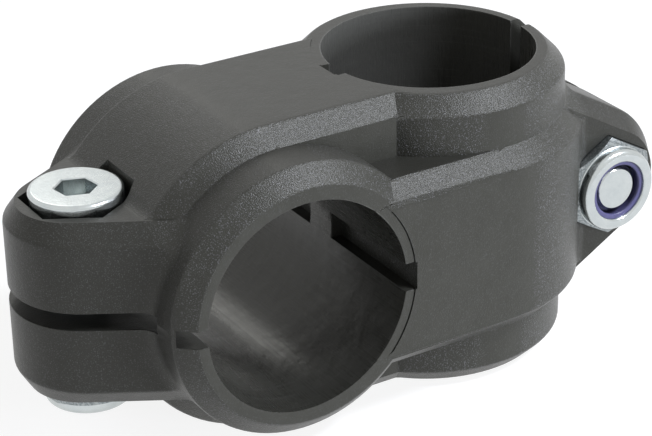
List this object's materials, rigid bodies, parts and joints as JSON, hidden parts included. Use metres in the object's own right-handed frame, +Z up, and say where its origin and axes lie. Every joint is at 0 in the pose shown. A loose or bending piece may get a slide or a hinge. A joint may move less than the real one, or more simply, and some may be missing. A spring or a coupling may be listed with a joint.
{
  "type": "lean tube joint",
  "caption": "Black plastic clamp joint that holds two round tubes crossed at right angles, each split collar closed by a screw and lock nut.",
  "frame": {"origin": "centre of the clamp body, midway between the two bore axes", "axes": "+X from the horizontal bore to the vertical bore, Y along the horizontal bore, +Z up along the vertical bore"},
  "size_m": [0.0964, 0.044, 0.044],
  "materials": {
    "black_plastic": "fine moulded grain, glass-fibre filled",
    "zinc_plated_steel": "bright zinc plate",
    "violet_nylon": "smooth"
  },
  "bodies": {
    "housing": {"clamp_body": "black_plastic", "horizontal_bore_nut": "zinc_plated_steel", "horizontal_bore_insert": "violet_nylon", "vertical_bore_nut": "zinc_plated_steel", "vertical_bore_insert": "violet_nylon"},
    "horizontal_screw": {"horizontal_bore_screw": "zinc_plated_steel"},
    "vertical_screw": {"vertical_bore_screw": "zinc_plated_steel"}
  },
  "joints": [
    {"name": "horizontal_screw_turn", "type": "hinge", "parent": "housing", "child": "horizontal_screw", "pos_m": [-0.0385, 0, 0], "axis": [0, 0, 1], "range_deg": [-690, 1440]},
    {"name": "vertical_screw_turn", "type": "hinge", "parent": "housing", "child": "vertical_screw", "pos_m": [0.0385, 0, 0], "axis": [0, 1, 0], "range_deg": [-690, 1440]}
  ]
}
